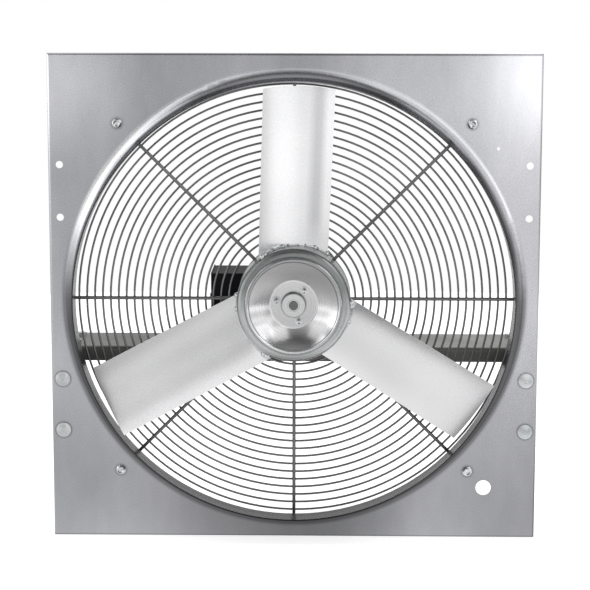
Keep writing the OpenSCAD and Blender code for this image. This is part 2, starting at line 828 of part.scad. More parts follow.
// The blade's outline as a prism along Y, trimmed to a ring of radii
module blade_outline(inner_r, outer_r) {
    intersection() {
        translate([0, blade_mid_y + 45, 0]) rotate([90, 0, 0]) linear_extrude(90) polygon([
            edge_point(drum_r - 30, -1), edge_point(prop_r + 5, -1),
            edge_point(prop_r + 5, 1), edge_point(drum_r - 30, 1)
        ]);
        translate([0, blade_mid_y - 50, 0]) rotate([-90, 0, 0]) difference() {
            cylinder(h = 100, r = outer_r, $fn = 144);
            translate([0, 0, -1]) cylinder(h = 102, r = inner_r, $fn = 144);
        }
    }
}

// One rolled blade pointing along +X, its counter-clockwise edge to the front
module blade() {
    intersection() {
        rolled_sheet(0);
        blade_outline(drum_r + blade_root_gap, prop_r);
    }
}

module placed_blade(i) {
    color("whitesmoke") around(90 + 360 * i / blade_count) blade();
}

module blade_1() {
    placed_blade(0);
}

module blade_2() {
    placed_blade(1);
}

module blade_3() {
    placed_blade(2);
}

// Short stitch welds on both faces of each blade's root
module root_welds() {
    color("darkgray") for (i = [0 : blade_count - 1]) around(90 + 360 * i / blade_count) difference() {
        intersection() {
            rolled_sheet(weld_leg);
            blade_outline(drum_r, drum_r + weld_leg);
            for (z = stitch_z)
                block([0, drum_r + 10], [blade_mid_y - 60, blade_mid_y + 60], [z, z + stitch_run]);
        }
        rolled_sheet(0);
    }
}

wall_panel();
guard_spiral();
guard_inner_ring();
guard_spokes();
guard_screws();
guard_nuts();
support_arm_left();
support_arm_right();
carriage_bolts();
carriage_nuts();
motor_platform();
platform_bolts();
platform_nuts();
motor_cradle();
cradle_rings();
cradle_straps();
strap_screws();
motor_bolts();
motor_nuts();
motor_shell();
front_end_bell();
rear_end_bell();
through_bolts();
stator_core();
stator_windings();
shaft_bearings();
conduit_box();
conduit_box_cover();
cover_screws();
motor_shaft();
rotor_core();
rotor_end_rings();
hub_bushing();
hub_set_screw();
hub_drum();
hub_dish();
hub_screws();
hub_nuts();
blade_1();
blade_2();
blade_3();
root_welds();
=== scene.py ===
import json
import bmesh
import bpy
from math import asin, cos, pi, radians, sin, sqrt
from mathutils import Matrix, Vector


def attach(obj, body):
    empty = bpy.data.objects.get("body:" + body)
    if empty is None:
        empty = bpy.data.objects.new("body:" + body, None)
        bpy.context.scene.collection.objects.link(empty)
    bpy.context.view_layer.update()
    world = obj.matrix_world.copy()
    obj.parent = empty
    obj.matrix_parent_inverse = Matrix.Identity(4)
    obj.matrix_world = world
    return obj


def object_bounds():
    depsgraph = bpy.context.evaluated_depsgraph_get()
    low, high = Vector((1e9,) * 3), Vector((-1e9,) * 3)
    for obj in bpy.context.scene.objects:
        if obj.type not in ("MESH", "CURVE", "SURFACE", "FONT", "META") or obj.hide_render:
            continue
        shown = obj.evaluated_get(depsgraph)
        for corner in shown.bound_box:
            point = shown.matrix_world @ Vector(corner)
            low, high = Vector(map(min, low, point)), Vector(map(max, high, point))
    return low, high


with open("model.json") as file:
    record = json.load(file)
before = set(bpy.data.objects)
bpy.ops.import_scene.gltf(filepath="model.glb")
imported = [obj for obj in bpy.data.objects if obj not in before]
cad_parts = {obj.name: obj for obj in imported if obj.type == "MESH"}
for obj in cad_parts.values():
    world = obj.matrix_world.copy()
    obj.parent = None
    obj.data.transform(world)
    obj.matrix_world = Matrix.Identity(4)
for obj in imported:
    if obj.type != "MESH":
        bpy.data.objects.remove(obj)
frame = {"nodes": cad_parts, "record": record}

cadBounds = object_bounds()
cadNodes = frame["nodes"]
scene = bpy.context.scene
scene.view_settings.view_transform = "Standard"
print("frame loaded:", len(cadNodes), "pieces")


# Links a socket to an input, or sets the input to a plain value
def feed(tree, socket, value):
    if isinstance(value, bpy.types.NodeSocket):
        tree.links.new(value, socket)
    else:
        socket.default_value = value


def addNode(tree, kind, inputs=None, **settings):
    node = tree.nodes.new(kind)
    for name, value in settings.items():
        setattr(node, name, value)
    for name, value in (inputs or {}).items():
        feed(tree, node.inputs[name], value)
    return node


def newGroup(name, kind, inputs, outputs):
    tree = bpy.data.node_groups.new(name, kind)
    for label, socketType, value in inputs:
        socket = tree.interface.new_socket(label, in_out="INPUT", socket_type=socketType)
        if value is not None:
            socket.default_value = value
    for label, socketType in outputs:
        tree.interface.new_socket(label, in_out="OUTPUT", socket_type=socketType)
    return tree, tree.nodes.new("NodeGroupInput").outputs, tree.nodes.new("NodeGroupOutput").inputs


def useGroup(tree, group, inputs=None):
    return addNode(tree, "ShaderNodeGroup", inputs, node_tree=group).outputs


def mathNode(tree, operation, first, second=0.0):
    return addNode(tree, "ShaderNodeMath", {0: first, 1: second}, operation=operation).outputs[0]


def multiply(tree, first, *others):
    for other in others:
        first = mathNode(tree, "MULTIPLY", first, other)
    return first


def leftOver(tree, share):
    return mathNode(tree, "SUBTRACT", 1.0, share)


def mapRange(tree, value, start, end, toStart=0.0, toEnd=1.0, blend="LINEAR"):
    return addNode(tree, "ShaderNodeMapRange", {
        "Value": value, "From Min": start, "From Max": end, "To Min": toStart, "To Max": toEnd},
        interpolation_type=blend).outputs[0]


def objectPlace(tree):
    return addNode(tree, "ShaderNodeTexCoord").outputs["Object"]


def splitPlace(tree, place=None):
    return addNode(tree, "ShaderNodeSeparateXYZ", {"Vector": place or objectPlace(tree)}).outputs


# Stops are (place, colour), where a single number is a grey
def rampNode(tree, factor, stops):
    node = tree.nodes.new("ShaderNodeValToRGB")
    band = node.color_ramp
    while len(band.elements) < len(stops):
        band.elements.new(0.5)
    for element, (place, colour) in zip(band.elements, stops):
        element.position = place
        element.color = (*colour, 1) if isinstance(colour, tuple) else (colour, colour, colour, 1)
    tree.links.new(factor, node.inputs["Fac"])
    return node.outputs["Color"]


def blendColour(tree, factor, first, second, mode="MIX"):
    node = addNode(tree, "ShaderNodeMix", data_type="RGBA", blend_type=mode)
    for name, value in (("Factor", factor), ("A", first), ("B", second)):
        feed(tree, [s for s in node.inputs if s.name == name and (s.type == "RGBA") == (name != "Factor")][0], value)
    return [s for s in node.outputs if s.type == "RGBA"][0]


def tint(tree, colour, tone):
    return blendColour(tree, 1.0, colour, tone, "MULTIPLY")


def bumpFrom(tree, height, strength, distance, normal=None):
    inputs = {"Height": height, "Strength": strength, "Distance": distance}
    if normal is not None:
        inputs["Normal"] = normal
    return addNode(tree, "ShaderNodeBump", inputs).outputs["Normal"]


def newMaterial(name, **plain):
    material = bpy.data.materials.new(name)
    material.use_nodes = True
    shader = material.node_tree.nodes["Principled BSDF"]
    for label, value in plain.items():
        shader.inputs[label.replace("_", " ")].default_value = value
    return material, material.node_tree


def closeMaterial(material, colour, roughness, normal):
    tree = material.node_tree
    shader = tree.nodes["Principled BSDF"]
    for label, socket in (("Base Color", colour), ("Roughness", roughness), ("Normal", normal)):
        tree.links.new(socket, shader.inputs[label])
    return material


# Soft clouds, drawn out along one axis, as rolled and coated sheet shows
def buildClouds():
    sizes = {"softDetail": 3.0, "softRoughness": 0.45, "fineDetail": 4.0, "fineRoughness": 0.6, "finer": 9.0}
    tree, given, result = newGroup("sheetClouds", "ShaderNodeTree", [
        ("Size", "NodeSocketFloat", 6.0), ("Stretch", "NodeSocketVector", (1, 1, 1))],
        [("Cloud", "NodeSocketFloat"), ("Streak", "NodeSocketFloat")])
    drawn = addNode(tree, "ShaderNodeVectorMath", {0: objectPlace(tree), 1: given["Stretch"]},
                    operation="MULTIPLY").outputs[0]
    soft = addNode(tree, "ShaderNodeTexNoise", {
        "Vector": drawn, "Scale": given["Size"], "Detail": sizes["softDetail"], "Roughness": sizes["softRoughness"]})
    fine = addNode(tree, "ShaderNodeTexNoise", {
        "Vector": drawn, "Scale": multiply(tree, given["Size"], sizes["finer"]),
        "Detail": sizes["fineDetail"], "Roughness": sizes["fineRoughness"]})
    tree.links.new(soft.outputs["Fac"], result["Cloud"])
    tree.links.new(fine.outputs["Fac"], result["Streak"])
    return tree


# Turning marks: rings about the shaft axis that waver a little, and the distance from that axis
def buildTurned():
    sizes = {"waverScale": 60.0, "waverDetail": 2.0, "markDetail": 3.0, "markRoughness": 0.7}
    tree, given, result = newGroup("turnedRings", "ShaderNodeTree", [
        ("Rings", "NodeSocketFloat", 900.0), ("Wobble", "NodeSocketFloat", 0.15)],
        [("Ring", "NodeSocketFloat"), ("Radius", "NodeSocketFloat")])
    place = objectPlace(tree)
    split = splitPlace(tree, place)
    flat = addNode(tree, "ShaderNodeCombineXYZ", {"X": split["X"], "Z": split["Z"]}).outputs[0]
    radius = addNode(tree, "ShaderNodeVectorMath", {0: flat}, operation="LENGTH").outputs["Value"]
    waver = addNode(tree, "ShaderNodeTexNoise", {
        "Vector": place, "Scale": sizes["waverScale"], "Detail": sizes["waverDetail"]}).outputs["Fac"]
    along = mathNode(tree, "ADD", multiply(tree, radius, given["Rings"]), multiply(tree, waver, given["Wobble"]))
    marks = addNode(tree, "ShaderNodeTexNoise", {
        "W": along, "Scale": 1.0, "Detail": sizes["markDetail"], "Roughness": sizes["markRoughness"]},
        noise_dimensions="1D").outputs["Fac"]
    tree.links.new(marks, result["Ring"])
    tree.links.new(radius, result["Radius"])
    return tree


# Fine grain for roughness and a light tooth
def buildGrain():
    sizes = {"detail": 5.0, "roughness": 0.65, "from": 0.3, "to": 0.7}
    tree, given, result = newGroup("fineGrain", "ShaderNodeTree", [
        ("Size", "NodeSocketFloat", 900.0), ("Low", "NodeSocketFloat", 0.3), ("High", "NodeSocketFloat", 0.45)],
        [("Grain", "NodeSocketFloat"), ("Roughness", "NodeSocketFloat")])
    speck = addNode(tree, "ShaderNodeTexNoise", {
        "Vector": objectPlace(tree), "Scale": given["Size"], "Detail": sizes["detail"],
        "Roughness": sizes["roughness"]}).outputs["Fac"]
    tree.links.new(speck, result["Grain"])
    tree.links.new(mapRange(tree, speck, sizes["from"], sizes["to"], given["Low"], given["High"]), result["Roughness"])
    return tree


# A soft round patch in the panel's plane: 1 at its middle, 0 from its reach outwards
def buildPatch():
    tree, given, result = newGroup("softPatch", "ShaderNodeTree", [
        ("At", "NodeSocketVector", (0, 0, 0)), ("Reach", "NodeSocketFloat", 0.17)], [("Share", "NodeSocketFloat")])
    flat = addNode(tree, "ShaderNodeVectorMath", {0: objectPlace(tree), 1: (1, 0, 1)}, operation="MULTIPLY")
    apart = addNode(tree, "ShaderNodeVectorMath", {0: flat.outputs[0], 1: given["At"]}, operation="DISTANCE")
    share = mapRange(tree, apart.outputs["Value"], 0.0, given["Reach"], 1.0, 0.0, "SMOOTHSTEP")
    tree.links.new(share, result["Share"])
    return tree


clouds, turned, grain, patch = buildClouds(), buildTurned(), buildGrain(), buildPatch()


def patchShare(tree, at, reach):
    return useGroup(tree, patch, {"At": (at[0], 0, at[1]), "Reach": reach})["Share"]


# Paints shade: multiplies a colour by a darker tone in soft round spots: where, how far they reach, which tone
def paintShadeSpots(tree, colour, shades):
    for at, reach, tone in shades:
        share = patchShare(tree, at, reach)
        colour = blendColour(tree, share, colour, tint(tree, colour, (tone, tone, tone, 1)))
    return colour


# Where the screws and bolts of the front stand, across and up
boltPlaces = {
    "support": [(x, z) for x in (-0.33305, 0.33305) for z in (-0.117, -0.192)],
    "guard": [(x, z) for x in (-0.25074, 0.25074) for z in (-0.25074, 0.25074)],
    "hub": [(0.0247 * cos(radians(turn)), 0.0247 * sin(radians(turn))) for turn in (53, 167, 287)],
}


# The coat is scaled by a power: each patch of painted highlight and painted shade, each ring of painted shade round a
# bolt head and each band of painted reflection on the drawn edge adds its amount to the level
def makeGalvanised():
    sizes = {
        "dark": (0.48, 0.485, 0.505), "pale": (0.66, 0.66, 0.69), "streak": (0.93, 0.93, 0.94),
        "cloudSize": 3.2, "stretch": (1.6, 1.0, 0.7), "level": -0.236, "powerOf": 2.718,
        "ringFrom": 0.29, "ringTo": 0.35, "upperFrom": 0.0, "upperTo": 0.12, "rimFrom": 0.346, "rimTo": 0.348,
        "low": 0.2, "high": 0.3, "toothSize": 420.0, "tooth": 0.15, "toothDepth": 0.00003, "waves": 0.002,
        "curl": 0.0022, "curlFrom": 0.27, "curlTo": 0.42,
        # Painted highlights and painted shade on the coat, standing in for reflections: where, how far they reach and
        # how much
        "paintedLightPatches": [((-0.33, 0.33), 0.17, 0.55), ((0.34, 0.33), 0.17, 0.6), ((0.02, 0.34), 0.15, -0.3),
                    ((-0.33, -0.1), 0.17, 0.25), ((-0.33, -0.33), 0.17, 0.25), ((0.0, -0.35), 0.26, -1.08),
                    ((0.34, -0.33), 0.17, -0.4), ((0.34, -0.08), 0.22, 0.6)],
        # Painted contact shade round the bolt heads: how far it reaches and how much
        "headShade": {"support": (0.0145, -4.5), "guard": (0.0115, -1.6)},
        # Bands of painted reflection on the drawn edge, from the opening outwards: brighter amounts are painted
        # highlights, darker ones painted shade
        "bands": {
            "steep": [(0.30, 1), (0.50, 0.8), (0.63, 0)],
            "paintedHighlight": [(0.40, 0), (0.58, 1), (0.64, 1), (0.70, 0)],
            "crease": [(0.56, 0), (0.595, 1), (0.63, 0)],
            "innermost": [(0.36, 1), (0.45, 0.6), (0.5, 0)],
            "outer": [(0.36, 0), (0.48, 1), (0.62, 1), (0.68, 0)],
            "lip": [(0.44, 0), (0.53, 1), (0.66, 1), (0.7, 0.3), (0.74, 0)],
        },
        # Parts of the round where the drawn edge gets a painted highlight (top, upper left) and painted shade (lower
        # right): where, how far they reach
        "parts": {"top": ((0.0, 0.31), 0.24), "upperLeft": ((-0.25, 0.19), 0.29), "lowerRight": ((0.27, -0.15), 0.22)},
        "amounts": {"steep": -1.3, "crease": -0.4, "lip": -0.75, "top": 0.5, "innermost": -1.1, "paintedHighlight": 0.6,
                    "upperLeft": 0.55, "lowerRight": -0.45, "rim": -0.7},
    }
    material, tree = newMaterial("galvanisedSheet", Metallic=1.0)
    cloud = useGroup(tree, clouds, {"Size": sizes["cloudSize"], "Stretch": sizes["stretch"]})
    colour = rampNode(tree, cloud["Cloud"], [(0.32, sizes["dark"]), (0.68, sizes["pale"])])
    coat = tint(tree, colour, rampNode(tree, cloud["Streak"], [(0.3, sizes["streak"]), (0.7, 1)]))
    heads = [(at, *shade) for bolts, shade in sizes["headShade"].items() for at in boltPlaces[bolts]]
    tone = sizes["level"]
    for at, reach, amount in sizes["paintedLightPatches"] + heads:
        tone = mathNode(tree, "ADD", tone, multiply(tree, patchShare(tree, at, reach), amount))

    split = splitPlace(tree)
    ring = mapRange(tree, useGroup(tree, turned)["Radius"], sizes["ringFrom"], sizes["ringTo"])
    band = {name: rampNode(tree, ring, stops) for name, stops in sizes["bands"].items()}
    part = {name: patchShare(tree, at, reach) for name, (at, reach) in sizes["parts"].items()}
    upperLeft = multiply(tree, part["upperLeft"], band["outer"])
    offTop = leftOver(tree, part["top"])
    upper = mapRange(tree, split["Z"], sizes["upperFrom"], sizes["upperTo"])
    lower = leftOver(tree, upper)
    share = {
        "steep": multiply(tree, band["steep"], offTop, leftOver(tree, upperLeft)),
        "crease": multiply(tree, band["crease"], lower),
        "lip": multiply(tree, band["lip"], lower),
        "top": multiply(tree, band["outer"], part["top"]),
        "innermost": multiply(tree, band["innermost"], offTop),
        "paintedHighlight": multiply(tree, band["paintedHighlight"], upper, offTop),
        "upperLeft": upperLeft,
        "lowerRight": multiply(tree, part["lowerRight"], band["outer"]),
        # Painted shade along the right and bottom edges of the sheet
        "rim": mathNode(tree, "MAXIMUM", mapRange(tree, split["X"], sizes["rimFrom"], sizes["rimTo"]),
                        mapRange(tree, split["Z"], -sizes["rimFrom"], -sizes["rimTo"])),
    }
    for name, amount in sizes["amounts"].items():
        tone = mathNode(tree, "ADD", tone, multiply(tree, share[name], amount))
    toned = addNode(tree, "ShaderNodeVectorMath", {
        0: coat, "Scale": mathNode(tree, "POWER", sizes["powerOf"], tone)}, operation="SCALE").outputs[0]

    # The sheet's soft waves, and its edges curling back a little
    tooth = useGroup(tree, grain, {"Size": sizes["toothSize"], "Low": sizes["low"], "High": sizes["high"]})
    side = mathNode(tree, "ABSOLUTE", split["X"])
    curl = mapRange(tree, side, sizes["curlFrom"], sizes["curlTo"], 1.0, -1.0, "SMOOTHSTEP")
    wave = bumpFrom(tree, cloud["Cloud"], 1.0, sizes["waves"])
    edge = bumpFrom(tree, curl, 1.0, sizes["curl"], wave)
    normal = bumpFrom(tree, tooth["Grain"], sizes["tooth"], sizes["toothDepth"], edge)
    return closeMaterial(material, toned, tooth["Roughness"], normal)


def makeBladeSheet():
    sizes = {
        "dark": (0.74, 0.74, 0.75), "pale": (0.88, 0.88, 0.89), "cloudSize": 5.0,
        "streak": (0.72, 0.72, 0.73), "streakWide": 0.05, "streakLean": 0.04, "streakFrom": 0.07, "streakTo": 0.12,
        "low": 0.26, "high": 0.32, "toothSize": 500.0, "tooth": 0.04, "toothDepth": 0.00003, "waves": 0.0012,
    }
    material, tree = newMaterial("bladeSheet", Metallic=1.0)
    cloud = useGroup(tree, clouds, {"Size": sizes["cloudSize"]})
    colour = rampNode(tree, cloud["Cloud"], [(0.3, sizes["dark"]), (0.7, sizes["pale"])])
    # A streak of painted shade along the blade that stands up at rest, standing in for a darker reflection
    split = splitPlace(tree)
    leaning = mathNode(tree, "SUBTRACT", split["X"], multiply(tree, split["Z"], sizes["streakLean"]))
    across = mapRange(tree, leaning, 0.0, sizes["streakWide"])
    streak = rampNode(tree, across, [(0.2, 1), (0.44, sizes["streak"]), (0.56, sizes["streak"]), (0.76, 1)])
    above = mapRange(tree, split["Z"], sizes["streakFrom"], sizes["streakTo"])
    colour = blendColour(tree, above, colour, tint(tree, colour, streak))
    tooth = useGroup(tree, grain, {"Size": sizes["toothSize"], "Low": sizes["low"], "High": sizes["high"]})
    wave = bumpFrom(tree, cloud["Cloud"], 1.0, sizes["waves"])
    normal = bumpFrom(tree, tooth["Grain"], sizes["tooth"], sizes["toothDepth"], wave)
    return closeMaterial(material, colour, tooth["Roughness"], normal)


# By radius: tones from the axis outwards, with rings of painted shade. By height: inner and outer radius, and painted
# shade from bottom to top between them
def makeTurnedMetal(name, dark, pale, low, high, rings=900.0, depth=0.00002, toneAndPaintedShadeByRadius=None, paintedShadeByHeight=None, shades=()):
    sizes = {"wobble": 0.3, "toothSize": 700.0, "tooth": 0.2, "toothDepth": 0.00004, "speck": 0.85, "line": 0.5,
             "reach": 0.1, "fadeIn": 0.002, "fadeOut": 0.0004}
    material, tree = newMaterial(name, Metallic=1.0)
    ring = useGroup(tree, turned, {"Rings": rings, "Wobble": sizes["wobble"]})
    colour = rampNode(tree, ring["Ring"], [(0.3, dark), (0.7, pale)])
    tooth = useGroup(tree, grain, {"Size": sizes["toothSize"], "Low": low, "High": high})
    colour = tint(tree, colour, rampNode(tree, tooth["Grain"], [(0.3, sizes["speck"]), (0.6, 1)]))
    if toneAndPaintedShadeByRadius:
        colour = tint(tree, colour, rampNode(tree, mapRange(tree, ring["Radius"], 0.0, sizes["reach"]), toneAndPaintedShadeByRadius))
    if paintedShadeByHeight:
        inner, outer, stops = paintedShadeByHeight
        level = mapRange(tree, splitPlace(tree)["Z"], -sizes["reach"], sizes["reach"])
        past = mapRange(tree, ring["Radius"], inner, inner + sizes["fadeIn"])
        within = mapRange(tree, ring["Radius"], outer + sizes["fadeOut"], outer)
        shaded = tint(tree, colour, rampNode(tree, level, stops))
        colour = blendColour(tree, multiply(tree, past, within), colour, shaded)
    colour = paintShadeSpots(tree, colour, shades)
    line = bumpFrom(tree, ring["Ring"], sizes["line"], depth)
    normal = bumpFrom(tree, tooth["Grain"], sizes["tooth"], sizes["toothDepth"], line)
    return closeMaterial(material, colour, tooth["Roughness"], normal)


def makePlainMetal(name, dark, pale, low, high, size=600.0, depth=0.0002, metallic=1.0, gleam=0.5, shades=()):
    sizes = {"cloudSize": 14.0, "speck": 0.8, "tooth": 0.3}
    material, tree = newMaterial(name, Metallic=metallic, Specular_IOR_Level=gleam)
    tooth = useGroup(tree, grain, {"Size": size, "Low": low, "High": high})
    cloud = useGroup(tree, clouds, {"Size": sizes["cloudSize"]})
    colour = rampNode(tree, cloud["Cloud"], [(0.3, dark), (0.7, pale)])
    colour = tint(tree, colour, rampNode(tree, tooth["Grain"], [(0.3, sizes["speck"]), (0.6, 1)]))
    normal = bumpFrom(tree, tooth["Grain"], sizes["tooth"], depth)
    return closeMaterial(material, paintShadeSpots(tree, colour, shades), tooth["Roughness"], normal)


def makeLaminations():
    sizes = {"dark": (0.12, 0.12, 0.14), "pale": (0.36, 0.37, 0.39), "sheetsPerMetre": 2000.0, "groove": 0.0003,
             "low": 0.4, "high": 0.6, "toothSize": 500.0}
    material, tree = newMaterial("laminationSteel", Metallic=1.0)
    steps = mathNode(tree, "PINGPONG", multiply(tree, splitPlace(tree)["Y"], sizes["sheetsPerMetre"]), 1.0)
    tooth = useGroup(tree, grain, {"Size": sizes["toothSize"], "Low": sizes["low"], "High": sizes["high"]})
    colour = rampNode(tree, steps, [(0.1, sizes["dark"]), (0.5, sizes["pale"])])
    return closeMaterial(material, colour, tooth["Roughness"], bumpFrom(tree, steps, 0.4, sizes["groove"]))


def makeWindings():
    sizes = {"dark": (0.16, 0.05, 0.015), "pale": (0.62, 0.27, 0.1), "turnsPerMetre": 1400.0, "wobble": 2.5,
             "groove": 0.0006, "low": 0.3, "high": 0.45, "toothSize": 500.0}
    material, tree = newMaterial("windingCopper", Metallic=0.6, Coat_Weight=0.6, Coat_Roughness=0.15)
    ring = useGroup(tree, turned, {"Rings": sizes["turnsPerMetre"], "Wobble": sizes["wobble"]})
    colour = rampNode(tree, ring["Ring"], [(0.25, sizes["dark"]), (0.7, sizes["pale"])])
    tooth = useGroup(tree, grain, {"Size": sizes["toothSize"], "Low": sizes["low"], "High": sizes["high"]})
    return closeMaterial(material, colour, tooth["Roughness"], bumpFrom(tree, ring["Ring"], 0.8, sizes["groove"]))


finishes = {
    "galvanised_sheet": makeGalvanised(),
    "blade_sheet": makeBladeSheet(),
    # The dish carries painted shade: a dark ring at the floor's hole, a darker bead, darker towards the top of its
    # wall, and round each hub screw; its floor is also a little darker
    "spun_dish": makeTurnedMetal(
        "spunDish", (0.64, 0.64, 0.65), (0.82, 0.82, 0.83), 0.15, 0.24,
        toneAndPaintedShadeByRadius=[(0.17, 0.4), (0.185, 0.85), (0.315, 0.88), (0.33, 1), (0.65, 1), (0.67, (0.55, 0.57, 0.57))],
        paintedShadeByHeight=(0.033, 0.0665, [(0.35, 1), (0.48, 0.9), (0.6, 0.66), (0.72, 0.52)]),
        shades=[(at, 0.0085, 0.45) for at in boltPlaces["hub"]]),
    # Painted shade on the hub: a dark ring round the bushing and the drum's rim darker at top and bottom; a dark ring
    # line also crosses the bushing face
    "hub_steel": makeTurnedMetal(
        "hubSteel", (0.62, 0.63, 0.63), (0.80, 0.81, 0.81), 0.25, 0.38,
        toneAndPaintedShadeByRadius=[(0.078, 0.95), (0.084, 0.5), (0.09, 0.95), (0.155, 0.95), (0.168, 0.35), (0.2, 0.35), (0.3, 1)],
        paintedShadeByHeight=(0.066, 0.0808, [(0.1, (0.35, 0.36, 0.36)), (0.2, (0.8, 0.81, 0.81)), (0.42, (0.8, 0.81, 0.81)),
                                  (0.62, (0.36, 0.375, 0.37))])),
    "guard_wire": makePlainMetal("guardWire", (0.16, 0.16, 0.165), (0.27, 0.27, 0.275), 0.26, 0.38),
    # Painted shade: a dark crescent above each hub screw head
    "zinc_fastener": makePlainMetal(
        "brightZinc", (0.60, 0.62, 0.63), (0.80, 0.81, 0.82), 0.26, 0.4, depth=0.0001,
        shades=[((x, z + 0.0022), 0.0036, 0.15) for x, z in boltPlaces["hub"]]),
    "support_steel": makePlainMetal("supportSteel", (0.125, 0.123, 0.118), (0.2, 0.197, 0.19), 0.38, 0.55),
    "black_paint": makePlainMetal(
        "blackEnamel", (0.010, 0.010, 0.012), (0.022, 0.022, 0.025), 0.5, 0.7,
        size=900.0, depth=0.00015, metallic=0.0, gleam=0.1),
    "ring_rubber": makePlainMetal(
        "ringRubber", (0.012, 0.012, 0.012), (0.03, 0.03, 0.03), 0.65, 0.85, size=900.0, depth=0.0003, metallic=0.0),
    "lamination_steel": makeLaminations(),
    "winding_copper": makeWindings(),
    "bearing_bronze": makePlainMetal("bearingBronze", (0.36, 0.21, 0.08), (0.55, 0.34, 0.15), 0.35, 0.5),
    "cast_aluminium": makePlainMetal("castAluminium", (0.45, 0.45, 0.46), (0.62, 0.62, 0.63), 0.4, 0.6),
    "shaft_steel": makeTurnedMetal(
        "shaftSteel", (0.10, 0.10, 0.10), (0.26, 0.26, 0.26), 0.3, 0.5, rings=1500.0, depth=0.0001),
}
slotOf = {part["node"]: part["material_slot"] for part in frame["record"]["subparts"]}
for name, piece in cadNodes.items():
    piece.data.materials.clear()
    piece.data.materials.append(finishes[slotOf[name]])
print("materials on", len(cadNodes), "pieces")


# The CAD mesh is loose triangles, so each piece is welded before its edges are rounded
def softenEdges():
    sizes = {"hub_screws": (0.0009, 3), "guard_screws": (0.0004, 2), "hub_bushing": (0.0004, 2)}
    join, sharperThan = 0.00001, 35
    for name, (width, steps) in sizes.items():
        weld = cadNodes[name].modifiers.new("join", "WELD")
        weld.merge_threshold = join
        bevel = cadNodes[name].modifiers.new("round", "BEVEL")
        bevel.width, bevel.segments, bevel.harden_normals = width, steps, True
        bevel.limit_method, bevel.angle_limit = "ANGLE", radians(sharperThan)


softenEdges()
print("edges softened")


# Runs a tree on a mesh of points or edges and keeps the result as a plain mesh
def growMesh(tree, points, edges, values):
    seed = bpy.data.objects.new("seed", bpy.data.meshes.new("seed"))
    seed.data.from_pydata(points, edges, [])
    scene.collection.objects.link(seed)
    grower = seed.modifiers.new("grower", "NODES")
    grower.node_group = tree
    for item in tree.interface.items_tree:
        if item.item_type == "SOCKET" and item.in_out == "INPUT" and item.name in values:
            grower[item.identifier] = values[item.name]
    depsgraph = bpy.context.evaluated_depsgraph_get()
    grown = bpy.data.meshes.new_from_object(seed.evaluated_get(depsgraph), depsgraph=depsgraph)
    seed.modifiers.remove(grower)
    bpy.data.objects.remove(seed)
    return grown


# Joins grown meshes into one piece of a body
def addPiece(name, meshes, body, slotName):
    joined = bmesh.new()
    for mesh in meshes:
        joined.from_mesh(mesh)
    bmesh.ops.recalc_face_normals(joined, faces=joined.faces)
    whole = bpy.data.meshes.new(name)
    joined.to_mesh(whole)
    joined.free()
    whole.materials.clear()
    whole.materials.append(finishes[slotName])
    for face in whole.polygons:
        face.material_index, face.use_smooth = 0, True
    piece = bpy.data.objects.new(name, whole)
    scene.collection.objects.link(piece)
    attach(piece, body)
    print(name, len(whole.polygons), "faces")


def closeTree(tree, given, result, instances):
    real = addNode(tree, "GeometryNodeRealizeInstances", {"Geometry": instances})
    smooth = addNode(tree, "GeometryNodeSetShadeSmooth", {"Geometry": real.outputs[0]})
    finish = addNode(tree, "GeometryNodeSetMaterial", {"Geometry": smooth.outputs[0], "Material": given["Finish"]})
    tree.links.new(finish.outputs[0], result["Geometry"])
    return tree


# A rolled thread: a ridge wound round the free end of a bolt
def buildThread():
    sizes = {"stepsPerTurn": 18, "ridgeCorners": 4}
    tree, given, result = newGroup("boltThread", "GeometryNodeTree", [
        ("Geometry", "NodeSocketGeometry", None), ("Radius", "NodeSocketFloat", 0.003),
        ("Pitch", "NodeSocketFloat", 0.001), ("Length", "NodeSocketFloat", 0.004), ("Ridge", "NodeSocketFloat", 0.0003),
        ("Turn", "NodeSocketVector", (0, 0, 0)), ("Finish", "NodeSocketMaterial", None)],
        [("Geometry", "NodeSocketGeometry")])
    helix = addNode(tree, "GeometryNodeCurveSpiral", {
        "Resolution": sizes["stepsPerTurn"], "Rotations": mathNode(tree, "DIVIDE", given["Length"], given["Pitch"]),
        "Start Radius": given["Radius"], "End Radius": given["Radius"], "Height": given["Length"]})
    ridge = addNode(tree, "GeometryNodeCurvePrimitiveCircle", {
        "Resolution": sizes["ridgeCorners"], "Radius": given["Ridge"]})
    swept = addNode(tree, "GeometryNodeCurveToMesh", {
        "Curve": helix.outputs[0], "Profile Curve": ridge.outputs[0], "Fill Caps": True})
    placed = addNode(tree, "GeometryNodeInstanceOnPoints", {
        "Points": given["Geometry"], "Instance": swept.outputs[0], "Rotation": given["Turn"]})
    return closeTree(tree, given, result, placed.outputs[0])


# A flattened drop, and how much each one differs in size
def makeDrop(tree, given, segments, rings):
    drop = addNode(tree, "GeometryNodeMeshUVSphere", {
        "Segments": segments, "Rings": rings, "Radius": given["Size"]}).outputs["Mesh"]
    shaped = addNode(tree, "GeometryNodeTransform", {"Geometry": drop, "Scale": given["Shape"]})
    low, high = [mathNode(tree, way, 1.0, given["Spread"]) for way in ("SUBTRACT", "ADD")]
    vary = addNode(tree, "FunctionNodeRandomValue", {2: low, 3: high, "Seed": given["Seed"]}, data_type="FLOAT")
    return {"Instance": shaped.outputs[0], "Scale": vary.outputs[1]}


dropInputs = [
    ("Geometry", "NodeSocketGeometry", None), ("Size", "NodeSocketFloat", 0.002),
    ("Shape", "NodeSocketVector", (1, 1, 1)), ("Spread", "NodeSocketFloat", 0.15), ("Seed", "NodeSocketInt", 3),
    ("Finish", "NodeSocketMaterial", None)]


